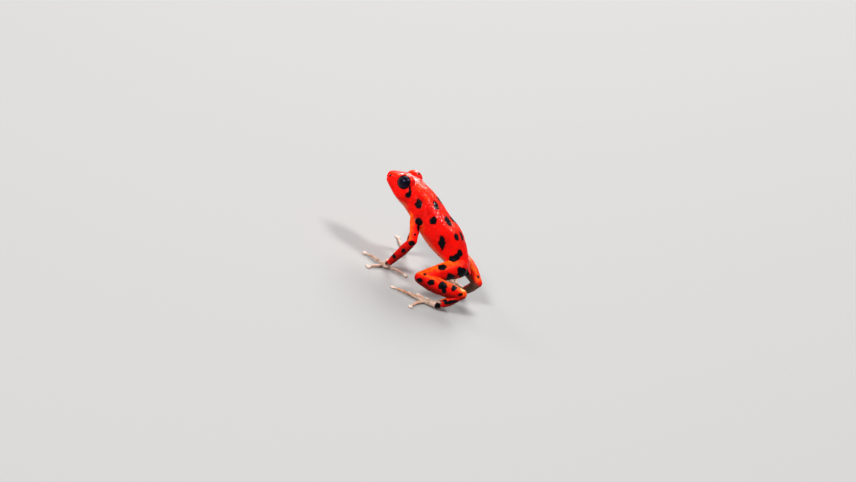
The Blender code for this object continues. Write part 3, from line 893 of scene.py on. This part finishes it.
# Spots, each placed where a pixel of the photograph looks: x, y, half its width and height in
# pixels, and how many degrees it leans to the left.
spots = {
    "eyeCorner": (409.9, 188.8, 1.1, 3.0, -4),
    "earTop": (409.7, 192.4, 1.6, 2.8, -14),
    "ear": (408.3, 195.0, 2.8, 3.2, -20),
    "farLid": (418.8, 173.6, 1.2, 1.0, -20),
    "neck": (418.5, 204.0, 3.3, 4.5, 4),
    "shoulderTop": (435.8, 204.8, 2.2, 4.8, 22),
    "armpit": (418.8, 221.8, 3.8, 4.1, 0),
    "armpitTail": (418.6, 227.8, 1.7, 3.4, 4),
    "flankFront": (433.4, 220.5, 3.5, 3.9, 0),
    "backFront": (448.2, 221.3, 2.2, 5.6, 32),
    "flankMiddle": (442.1, 243.0, 3.6, 6.5, 4),
    "backMiddle": (456.7, 237.3, 2.0, 4.0, 22),
    "backEdge": (461.6, 236.2, 1.3, 5.2, 17),
    "commaFoot": (452.9, 259.0, 3.9, 3.3, -10),
    "commaMiddle": (456.9, 256.8, 3.2, 4.3, -34),
    "commaTop": (459.7, 253.4, 2.7, 4.0, -8),
    "rump": (463.0, 273.4, 5.3, 5.1, 0),
    "rumpLow": (465.0, 275.4, 3.6, 3.9, 0),
    "rumpEdge": (467.4, 273.0, 1.7, 4.4, 8),
    "thighFront": (442.0, 267.0, 4.4, 3.0, -4),
    "thighBack": (451.0, 277.0, 3.4, 3.1, 0),
    "thighBackTail": (449.0, 278.6, 2.4, 2.2, 0),
    "knee": (419.4, 280.5, 3.1, 2.3, -8),
    "kneeSmall": (424.8, 274.2, 1.6, 1.1, 0),
    "shankFront": (431.3, 282.6, 3.4, 3.1, 0),
    "shankMiddle": (442.9, 285.8, 4.4, 4.4, 8),
    "shankMiddleLow": (443.8, 289.8, 2.6, 3.6, 0),
    "shankBack": (454.0, 287.7, 2.8, 2.9, 0),
    "heel": (460.2, 294.8, 2.4, 1.7, 16),
    "tarsusBand": (450.8, 302.2, 1.7, 7.2, -80),
    "tarsusTop": (445.0, 300.8, 2.4, 1.5, 0),
    "ankle": (437.5, 306.0, 3.2, 3.0, 0),
    "wrist": (386.6, 263.4, 1.4, 1.5, 0),
    "upperArm": (415.0, 234.6, 1.1, 1.2, 0),
    "elbow": (411.6, 243.2, 3.3, 2.4, 0),
    "forearmUpper": (403.2, 250.6, 2.1, 2.1, 0),
    "forearmLower": (393.8, 256.3, 1.9, 2.7, 14),
    "farShank": (478.2, 277.0, 1.2, 1.8, 20),
}
spotShape = {
    "calm": 0.5,               # the skin's slope is read over this reach
    "steepest": 0.3,           # the cosine of the most slanting view that counts
    "longest": 2.2,            # a spot seen aslant isn't drawn out more than this
    "wobble": ((1.7, 0.3), (4.5, 0.12)),   # how often in a millimetre and how much its edge wavers
    "edgeTurn": (-0.35, 0.1),  # spots end where the skin turns away from them
    "edgeDrop": 0.9,           # this far inside at least, in millimetres, they outlast such a turn
    "depth": 1.3,              # and this far below or above their middle, in their own size
    "near": 0.35,              # this near in depth, they cross onto another limb
    "search": (1.6, 0.3),      # how far out its edge is looked for: times its size, and more
}
# Spots of the side that the photograph doesn't show are those of the near side, moved a little.
farSide = {
    "seed": 7,
    "shift": 0.3,
    "slide": 0.04,             # along a limb, as a share of its length
    "grow": (0.8, 1.15),
    "leftOut": ("farLid", "farShank", "kneeSmall", "backEdge", "tarsusTop", "rumpEdge"),
    "drop": 0.8,               # how much lower the far thigh and shank carry theirs
}
outside = -2.0                 # the value of skin far from any spot
limbNames = list(limbs["parts"])
torsoFamily = (0, 1, 4, 8, 11)   # the torso, upper arms and thighs, which one spot may cross


def partsOf(places):
    # The limb or torso that each place belongs to, and its side: 0 is the torso.
    best, _ = awayFromLine(places, [(x, 0, z) for x, z, *others in torsoRows])
    best = best - torso["girth"]
    part = np.zeros(len(places), np.int32)
    for s, side in enumerate(sides):
        for k, name in enumerate(limbNames):
            away, _ = awayFromLine(places, limbPath(side, name))
            away = away - limbs["parts"][name][2][1]
            near = away < best
            best[near] = away[near]
            part[near] = 1 + k + s * len(limbNames)
    return part


def calmNormal(place, normal, tree, normals):
    # Which way the skin faces round a place, without its grain.
    near = normals[[i for _, i, _ in tree.find_range(place, spotShape["calm"])]]
    return Vector(near[near @ np.array(normal) > 0].sum(axis=0)).normalized()


def spotFrames(skin, tree, normals):
    # A spot is a middle, two half axes along the skin and the skin's outward direction.
    right, above, back = photoAxes()
    found = {}
    for name, (x, y, wide, tall, lean) in spots.items():
        start, ahead = photoRay(x, y)
        hit, place, normal, _ = skin.ray_cast(start, ahead)
        if not hit:
            print("spot misses the skin:", name)
            continue
        normal = calmNormal(place, normal, tree, normals)
        scale = photo["pixel"] * (place - start).length
        turn = math.radians(lean)
        axes = []
        for reach, direction in (
            (wide, right * math.cos(turn) + above * math.sin(turn)),
            (tall, above * math.cos(turn) - right * math.sin(turn)),
        ):
            # Along the skin, as far as it looks that long from the camera.
            slope = min(ahead.dot(normal), -spotShape["steepest"])
            flat = direction - ahead * direction.dot(normal) / slope
            flat -= normal * flat.dot(normal)
            if flat.length > spotShape["longest"]:
                flat *= spotShape["longest"] / flat.length
            axes.append(flat * reach * scale)
        found[name] = (place, axes[0], axes[1], normal)
    return found


def limbFrame(side, name):
    # Where a limb starts, how it runs, and its axes: along, across and above.
    first, last = limbEnds(side, name)
    run = last - first
    across = Vector((0, 0, 1)).cross(run).normalized()
    above = run.normalized().cross(across)
    return first, run, Matrix((run.normalized(), across * sides[side], above))


def farSpot(spot, part, dice):
    place, wide, tall, normal = spot
    grow = dice.uniform(*farSide["grow"])
    shift = Vector([dice.uniform(-1, 1) * farSide["shift"] for _ in range(3)])
    if part == 0:
        flip = Matrix.Diagonal((1, -1, 1))
        return flip @ place + shift, flip @ wide * grow, flip @ tall * grow, flip @ normal
    name = limbNames[part - 1]
    first, run, axes = limbFrame("left", name)
    share = (place - first).dot(run) / run.length_squared
    local = [axes @ v for v in (place - first - run * share, wide, tall, normal)]
    first, run, axes = limbFrame("right", name)
    moved = [axes.transposed() @ v for v in local]
    middle = first + run * (share + dice.uniform(-farSide["slide"], farSide["slide"])) + moved[0]
    middle.z -= farSide["drop"] * (name in ("thigh", "shank"))
    return middle, moved[1] * grow, moved[2] * grow, moved[3]


def waver(place):
    return sum(noise.noise(Vector(place) * often) * much for often, much in spotShape["wobble"])


def spotField(skin, places, normals, part):
    # How far inside a spot each place lies, in millimetres, and less than 0 outside.
    field = np.full(len(places), outside)
    tree = KDTree(len(places))
    for i, place in enumerate(places):
        tree.insert(place, i)
    tree.balance()
    dice = random.Random(farSide["seed"])
    near = spotFrames(skin, tree, normals)
    every = list(near.values())
    for name, spot in near.items():
        of = part[tree.find(spot[0])[1]]
        if name in farSide["leftOut"] or of > len(limbNames):
            continue
        middle, wide, tall, normal = farSpot(spot, of, dice)
        _, place, onSkin, _ = skin.closest_point_on_mesh(middle)
        if onSkin.dot(normal) > spotShape["steepest"]:
            normal = calmNormal(place, onSkin, tree, normals)
        wide, tall = ((v - normal * v.dot(normal)).normalized() * v.length for v in (wide, tall))
        every.append((place, wide, tall, normal))
    more, extra = spotShape["search"]
    for place, wide, tall, normal in every:
        longest, shortest = max(wide.length, tall.length), min(wide.length, tall.length)
        close = np.array([i for _, i, _ in tree.find_range(place, longest * more + extra)])
        own = part[tree.find(place)[1]]
        family = (own - 1, own, own + 1) if own else torsoFamily
        basis = np.linalg.inv(np.array(Matrix((wide, tall, normal)).transposed()))
        local = (places[close] - np.array(place)) @ basis.T
        depth = local[:, 2] / longest / spotShape["depth"]
        away = np.sqrt(local[:, 0] ** 2 + local[:, 1] ** 2 + depth**2)
        wobble = np.array([waver(p) for p in places[close]])
        inside = (1 - away + wobble) * shortest
        turned = 1 - step01(normals[close] @ np.array(normal), *spotShape["edgeTurn"])
        alike = np.isin(part[close], family) | (np.abs(local[:, 2]) < spotShape["near"])
        value = np.where(alike, inside - spotShape["edgeDrop"] * turned, outside)
        field[close] = np.maximum(field[close], value)
    for side in sides:   # the lids' own edges are black
        _, away, angle = eyeReach(places, side)
        rim = np.radians(lids["blackTo"] - angle) * body["eyeRadius"] * lids["blackSharp"]
        near = away < lids["blackReach"] * body["eyeRadius"]
        field = np.where(near, np.maximum(field, rim), field)
    return field


# How strongly each layer of colour is laid on, the painted sheen and painted shade among them, and
# between which places, distances or slopes.
tint = {
    # legs, back and arm: how strong the painted sheen of the overhead light is on the limbs, the torso
    # and the upper arm's front
    "legs": 0.9,
    "back": 0.45,
    "arm": 0.8,
    "armBelow": 9.5,
    "heel": {"left": 2.4, "right": 0.5},   # above 1, the painted sheen turns from orange into yellow
    # how dark the painted shade under the limbs gets
    "paintedShade": 0.95,
    "throat": 2,                    # above 1, belly turns into throat
    "flush": {"feet": 0.9, "hands": 0.35},
    # the way the overhead light falls from, for the painted sheen
    "skySide": (0.3, 0, 0.95),
    "wetSide": (-0.1, 0.0, 0.99),   # the skin is wettest on top of the back and head
    # how far the inner side that takes painted shade faces inward and downward
    "inward": (0.75, 0.75),
    "soft": 50,
    "digitsBelow": 1.2,
    "digitWide": 0.35,
    "range": {
        # sky, armFront, heel and heelTop bound the painted sheen
        "sky": (0.35, 1.0),
        "armFront": (-0.4, 0.7),
        "heel": (0.3, 1.15),
        "heelTop": (-0.2, 0.5),
        # the inner side over which the shanks and tarsi take painted shade
        "innerShade": (0.4, 0.85),
        "under": (0.25, 0.95),
        # the downward slope over which the limbs take painted shade
        "paintedShade": (-0.45, 0.35),
        "throatX": (1.5, 4.0),
        "throat": (0.35, 0.9),
        "offLips": (0.3, 1.1),
        # how near the mouth's groove the painted shade lies
        "mouth": (0.03, 0.14),
        "wet": (0.55, 0.85),
        "wetBack": (-9.5, -7.0),
        "wetHead": (3.0, 5.0),
        "tip": (0.3, 0.85),
        "flushStart": (0.1, 0.6),
        "flushEnd": (0.7, 1.0),
    },
}


def over(value, name):
    # How far a value has got over one of the ranges above, from 0 to 1.
    return step01(value, *tint["range"][name])


def digitTones(places):
    # 1 on the pale discs, and 1 on the redder middle of each digit.
    tip, flush = np.zeros(len(places)), np.zeros(len(places))
    low = places[:, 2] < tint["digitsBelow"]
    here = places[low]
    for group in ("hands", "feet"):
        for side in sides:
            for root, end, bend in digits[group][side]:
                line = digitLine(root, end, bend)
                away, along = awayFromLine(here, line)
                tip[low] = np.maximum(tip[low], 1 - over(awayFrom(here, line[-1]), "tip"))
                middle = over(along, "flushStart") * (1 - over(along, "flushEnd"))
                middle = middle * (away < tint["digitWide"]) * tint["flush"][group]
                flush[low] = np.maximum(flush[low], middle)
    return tip, flush


def paintSkin(skin, mesh, nostrilShade):
    places, normals = pointsOf(mesh), pointsOf(mesh, "normal")
    part = partsOf(places)
    kind = np.where(part > 0, (part - 1) % len(limbNames), -1)
    arm, onTorso = kind == limbNames.index("upperArm"), part == 0
    shin = np.isin(kind, [limbNames.index(name) for name in ("shank", "tarsus")])
    down = -normals[:, 2]
    # Painted sheen of the overhead light: orange where the skin faces up and on the upper arm's front,
    # turning yellow on top of the heel.
    sky = over(normals @ np.array(tint["skySide"]), "sky")
    paintedSheen = sky * np.where(part > 0, tint["legs"], tint["back"])
    armFront = (arm & (places[:, 2] < tint["armBelow"])) * tint["arm"]
    paintedSheen = np.maximum(paintedSheen, armFront * over(normals[:, 0], "armFront"))
    innerShade = np.zeros(len(places))
    for side, sign in sides.items():
        away = awayFrom(places, body["joints"][side]["heel"])
        paintedSheen += tint["heel"][side] * (1 - over(away, "heel")) * over(normals[:, 2], "heelTop")
        # Painted shade over the greyish inner side: the inner, lower sides of the shanks and tarsi turn
        # dark grey-brown.
        inward = -sign * normals[:, 1] * tint["inward"][0] - normals[:, 2] * tint["inward"][1]
        innerShade = np.maximum(innerShade, (shin & (places[:, 1] * sign > 0)) * over(inward, "innerShade"))
    # Painted shade: deep red on the limbs, but not on the upper arms, where they face down.
    paintedShade = tint["paintedShade"] * over(down, "paintedShade") * (part > 0) * ~arm
    offLips, _ = awayFromLine(places, mouthLine())
    throat = over(places[:, 0], "throatX") * onTorso * over(down, "throat")
    under = np.maximum(over(down, "under") * onTorso, tint["throat"] * throat)
    under = under * over(offLips, "offLips")
    paintedSheen, under, paintedShade, innerShade = (spread(mesh, v, tint["soft"]) for v in (paintedSheen, under, paintedShade, innerShade))
    tip, flush = digitTones(places)
    wet = over(normals @ np.array(tint["wetSide"]), "wet") * onTorso
    wet *= over(places[:, 0], "wetBack") + over(places[:, 0], "wetHead")
    layers = {
        # the spots and the lids' black edges, with the painted shade inside the nostrils
        "spot": np.maximum(spotField(skin, places, normals, part), nostrilShade),
        "pale": handCover(places),
        # the painted sheen
        "paintedSheen": paintedSheen,
        "under": under,
        # painted shade under the limbs and in the mouth's groove
        "paintedShade": np.maximum(paintedShade, 1 - over(offLips, "mouth")),
        "wet": wet,
        # painted shade on the inner sides of the shanks and tarsi
        "innerShade": innerShade,
        "tip": tip,
        "flush": flush,
    }
    for name, values in layers.items():
        layer = mesh.attributes.new(name, "FLOAT", "POINT")
        layer.data.foreach_set("value", values.astype(np.float32))


colours = {
    "red": (0.87, 0.006, 0.003, 1),
    # deepRed serves for the uneven tone and the spots' edges, and as the painted shade.
    "deepRed": (0.21, 0.002, 0.002, 1),
    # Colours of the painted sheen: orange, and yellow on top of the heel.
    "paintedSheen": (0.98, 0.11, 0.006, 1),
    "yellow": (0.90, 0.46, 0.16, 1),
    "belly": (0.82, 0.16, 0.07, 1),
    "throat": (0.84, 0.34, 0.23, 1),
    # The dark grey-brown of the painted shade on the inner sides of the shanks and tarsi.
    "innerShade": (0.13, 0.07, 0.045, 1),
    "black": (0.0035, 0.0035, 0.005, 1),
    "brown": (0.24, 0.10, 0.07, 1),
    "pale": (0.68, 0.49, 0.38, 1),
    "palePatch": (0.47, 0.30, 0.22, 1),
    "palePink": (0.77, 0.50, 0.41, 1),
    "flush": (0.70, 0.30, 0.15, 1),
    "disc": (0.80, 0.61, 0.52, 1),
    "eyeBlack": (0.002, 0.002, 0.0035, 1),
    "iris": (0.007, 0.004, 0.004, 1),
}
# Uneven patterns: turns a metre, so 1000 is one a millimetre, how fine their detail is, the range
# of the cloud that is used, and what it gives at both ends of it.
patterns = {
    "blotch": (700, 3, 0.4, 0.75, 0, 0.4),
    # uneven breaks up the painted sheen.
    "uneven": (1100, 4, 0.3, 0.7, 0.45, 1.25),
    "palePatch": (1700, 3, 0.42, 0.66, 0, 1),
    "palePink": (520, 3, 0.5, 0.7, 0, 0.6),
    "mottle": (2600, 3, 0.3, 0.7, 0.45, 1.0),
    "paleEdge": (1600, 3, 0.2, 0.8, -0.12, 0.12),
    "spotEdge": (4200, 3, 0.2, 0.8, -0.035, 0.035),
    "roughness": (2500, 3, 0.3, 0.7, 0.2, 0.34),
    "film": (900, 3, 0.3, 0.7, 0.04, 0.16),   # how much of the skin is wet
    "iris": (6000, 5, 0.35, 0.7, 0, 1),
    "eyeRoughness": (9000, 3, 0.3, 0.7, 0.26, 0.32),
}
coats = {   # the value of its layer at which a colour sets in, and at which it is full
    # where the painted sheen turns orange, and where it turns yellow
    "paintedSheen": (0.05, 1.0),
    "yellow": (0.95, 1.6),
    "belly": (0, 1),
    "throat": (1, 2),
    "handBrown": (0.08, 0.3),
    "handPale": (0.3, 0.8),
    "spotEdge": (-0.13, 0.0, 0, 0.55),
    "spot": (-0.025, 0.03),
}
finish = {
    "skin": {
        "Coat Roughness": 0.08,
        "Coat IOR": 1.5,
        "Specular IOR Level": 0.03,     # of the gloss under the wet film
        "Subsurface Weight": 0.1,
        "Subsurface Radius": (1.0, 0.2, 0.1),
        "Subsurface Scale": 0.0003,
    },
    "eye": {
        "IOR": 1.28,
        "Specular Tint": (0.42, 0.34, 1.0, 1),
        "Coat Weight": 0.14,
        "Coat Roughness": 0.03,
        "Coat IOR": 1.33,
    },
    # Drops in the wet film, more of them where the skin is wettest.
    "beads": {"perMetre": 1900, "detail": 4, "more": 0.1, "range": (0.62, 0.70, 0.1, 1.0)},
    "cellsPerMetre": 8500,
    "poresPerMetre": 5200,
    "poreDetail": 4,
    "bump": {"Strength": 0.5, "Distance": 0.000016},
}


class Nodes:
    # A short way to write a material.
    def __init__(self, name):
        self.material = bpy.data.materials.new(name)
        self.material.use_nodes = True
        self.tree = self.material.node_tree
        self.surface = self.tree.nodes["Principled BSDF"]

    def add(self, kind, inputs, **settings):
        node = self.tree.nodes.new(kind)
        for key, value in settings.items():
            setattr(node, key, value)
        self.feed(node, inputs)
        return node

    def feed(self, node, inputs):
        # Each socket takes another node's output or a fixed value.
        for name, value in inputs.items():
            if isinstance(value, bpy.types.NodeSocket):
                self.tree.links.new(value, node.inputs[name])
            else:
                node.inputs[name].default_value = value

    def layer(self, name):
        return self.add("ShaderNodeAttribute", {}, attribute_name=name).outputs["Fac"]

    def ramp(self, value, low, high, first=0.0, last=1.0):
        inputs = {"Value": value, "From Min": low, "From Max": high, "To Min": first, "To Max": last}
        node = self.add("ShaderNodeMapRange", inputs, interpolation_type="SMOOTHSTEP")
        return node.outputs["Result"]

    def mix(self, share, first, second):
        first, second = (colours[c] if isinstance(c, str) else c for c in (first, second))
        node = self.add("ShaderNodeMix", {0: share, 6: first, 7: second}, data_type="RGBA")
        return node.outputs[2]

    def sum(self, first, second, operation="ADD"):
        return self.add("ShaderNodeMath", {0: first, 1: second}, operation=operation).outputs[0]

    def times(self, first, second):
        return self.sum(first, second, "MULTIPLY")

    def texture(self, kind, scale, output, **inputs):
        place = self.add("ShaderNodeTexCoord", {}).outputs["Object"]
        return self.add(kind, {"Vector": place, "Scale": scale, **inputs}).outputs[output]

    def cloud(self, scale, detail):
        return self.texture("ShaderNodeTexNoise", scale, "Fac", Detail=detail)

    def pattern(self, name):
        scale, detail, *ends = patterns[name]
        return self.ramp(self.cloud(scale, detail), *ends)


def skinFinish():
    nodes = Nodes("spottedSkin")
    layer, ramp, mix, pattern = nodes.layer, nodes.ramp, nodes.mix, nodes.pattern
    # Painted sheen of the overhead light, orange and then yellow.
    paintedSheen, under = nodes.times(layer("paintedSheen"), pattern("uneven")), layer("under")
    skin = mix(pattern("blotch"), "red", "deepRed")
    skin = mix(ramp(paintedSheen, *coats["paintedSheen"]), skin, "paintedSheen")
    skin = mix(ramp(paintedSheen, *coats["yellow"]), skin, "yellow")
    skin = mix(ramp(under, *coats["belly"]), skin, "belly")
    skin = mix(ramp(under, *coats["throat"]), skin, "throat")
    # Painted shade, deep red, under the limbs and in the mouth's groove.
    skin = mix(layer("paintedShade"), skin, "deepRed")
    # Painted shade, dark grey-brown, on the inner sides of the shanks and tarsi.
    skin = mix(layer("innerShade"), skin, "innerShade")
    tan = mix(pattern("palePatch"), "pale", "palePatch")
    tan = mix(pattern("palePink"), tan, "palePink")
    tan = mix(nodes.times(layer("flush"), pattern("mottle")), tan, "flush")
    tan = mix(nodes.times(layer("tip"), pattern("mottle")), tan, "disc")
    pale = nodes.sum(layer("pale"), pattern("paleEdge"))
    tan = mix(ramp(pale, *coats["handPale"]), "brown", tan)
    skin = mix(ramp(pale, *coats["handBrown"]), skin, tan)
    # Black spots and lids' edges, and the painted shade inside the nostrils.
    spot = nodes.sum(layer("spot"), pattern("spotEdge"))
    skin = mix(ramp(spot, *coats["spotEdge"]), skin, "deepRed")
    skin = mix(ramp(spot, *coats["spot"]), skin, "black")
    wet, drops = layer("wet"), finish["beads"]
    beads = nodes.sum(nodes.cloud(drops["perMetre"], drops["detail"]), nodes.times(wet, drops["more"]))
    film = nodes.sum(pattern("film"), nodes.times(wet, ramp(beads, *drops["range"])))
    cells = nodes.texture("ShaderNodeTexVoronoi", finish["cellsPerMetre"], "Distance")
    height = nodes.sum(cells, nodes.cloud(finish["poresPerMetre"], finish["poreDetail"]))
    bump = nodes.add("ShaderNodeBump", {"Height": height, **finish["bump"]})
    nodes.feed(nodes.surface, finish["skin"])
    nodes.feed(nodes.surface, {
        "Base Color": skin,
        "Roughness": pattern("roughness"),
        "Coat Weight": ramp(film, 0, 1),
        "Normal": bump.outputs["Normal"],
    })
    return nodes.material


def smooth(mesh, material):
    mesh.materials.append(material)
    for polygon in mesh.polygons:
        polygon.use_smooth = True


def makeSkin():
    flesh = Flesh()
    makeTorso(flesh)
    makeLimbs(flesh)
    makeHandsAndFeet(flesh)
    makeLids(flesh)
    print("flesh shaped:", len(flesh.points), "points")
    mesh = meltTogether(flesh)
    print("flesh melted:", len(mesh.vertices), "points")
    softenJoins(mesh)
    nostrilShade = carveFace(mesh)
    foldSkin(mesh)
    grainSkin(mesh)
    openLids(mesh)
    standOnFloor(mesh)
    print("skin carved")
    skin = link("frog_skin", mesh)
    bpy.context.view_layer.update()
    paintSkin(skin, mesh, nostrilShade)
    print("skin painted")
    mesh.transform(Matrix.Scale(mm, 4) @ Matrix.Translation(offset))
    smooth(mesh, skinFinish())
    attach(skin, "root")
    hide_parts(*[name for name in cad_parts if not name.startswith("eye")])


eyes = {
    "sides": 96,
    "pupil": (0.5, 0.34),   # half length and half height, in eye radii
    "pupilEdge": (0.94, 1.06),
    "irisEdge": (0.78, 0.86),
    "lookLevel": (1, 0, -0.15),
}


def eyeFinish():
    nodes = Nodes("wetEye")
    iris = nodes.mix(nodes.pattern("iris"), "eyeBlack", "iris")
    nodes.feed(nodes.surface, finish["eye"])
    nodes.feed(nodes.surface, {
        "Base Color": nodes.mix(nodes.layer("iris"), "eyeBlack", iris),
        "Roughness": nodes.pattern("eyeRoughness"),
    })
    return nodes.material


def makeEyes():
    material = eyeFinish()
    radius = body["eyeRadius"]
    for side in sides:
        middle, outward = eyeFrame(side)
        flesh = Flesh()
        turn = outward.to_track_quat("Z", "Y").to_matrix()
        flesh.ball((0, 0, 0), (radius, radius, radius), turn, eyes["sides"])
        mesh = bpy.data.meshes.new("eyeball")
        mesh.from_pydata(flesh.points, [], flesh.faces)
        ahead = np.array(outward)
        level = np.array(Vector(eyes["lookLevel"]).normalized())
        level = level - ahead * (level @ ahead)
        places = pointsOf(mesh) / radius
        along, across = places @ level, places @ np.cross(ahead, level)
        pupil = np.hypot(along / eyes["pupil"][0], across / eyes["pupil"][1])
        iris = step01(pupil, *eyes["pupilEdge"])
        iris *= 1 - step01(np.hypot(along, across), *eyes["irisEdge"])
        iris *= places @ ahead > 0
        layer = mesh.attributes.new("iris", "FLOAT", "POINT")
        layer.data.foreach_set("value", iris.astype(np.float32))
        mesh.transform(Matrix.Scale(mm, 4))
        smooth(mesh, material)
        ball = link("eyeball_" + side, mesh)
        ball.location = toFrame(middle)
        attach(ball, "root")
        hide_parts("eye_" + side)
    print("eyes set")


# A pale floor and soft lamps: one overhead, one at the camera's side, a weak one before the snout,
# and a broad one behind.
studio = {
    "floorSize": 8.0,
    "floor": {"Base Color": (0.40, 0.392, 0.38, 1), "Roughness": 0.7, "Specular IOR Level": 0.15},
    "world": {"Color": (0.80, 0.86, 1.0, 1), "Strength": 0.16},
    "aim": (-2, 0, 6),
    "lamps": {   # where from the frog in metres, width in metres, watts
        "overhead": ((-0.75, -0.5, 2.15), 0.6, 30),
        "front": ((0.8, 2.0, 1.6), 0.6, 60),
        "snoutSide": ((2.0, 0.4, 1.0), 0.7, 8),
        "behind": ((0.72, -1.87, 1.32), 1.3, 54),
    },
}


def makeStudio():
    bpy.ops.mesh.primitive_plane_add(size=studio["floorSize"])
    floor = bpy.context.active_object
    floor.name = "studioFloor"
    nodes = Nodes("paleFloor")
    nodes.feed(nodes.surface, studio["floor"])
    floor.data.materials.append(nodes.material)
    world = bpy.data.worlds.new("studio")
    world.use_nodes = True
    nodes.feed(world.node_tree.nodes["Background"], studio["world"])
    bpy.context.scene.world = world
    aim = toFrame(studio["aim"])
    for name, (place, width, watts) in studio["lamps"].items():
        data = bpy.data.lights.new(name, "AREA")
        data.shape = "DISK"
        data.size = width
        data.energy = watts
        lamp = link(name, data)
        lamp.location = Vector(place)
        lamp.rotation_euler = (Vector(place) - aim).to_track_quat("Z", "Y").to_euler()
    print("studio lit")


makeCamera()
makeSkin()
makeEyes()
makeStudio()
bpy.context.scene.view_settings.view_transform = "Standard"
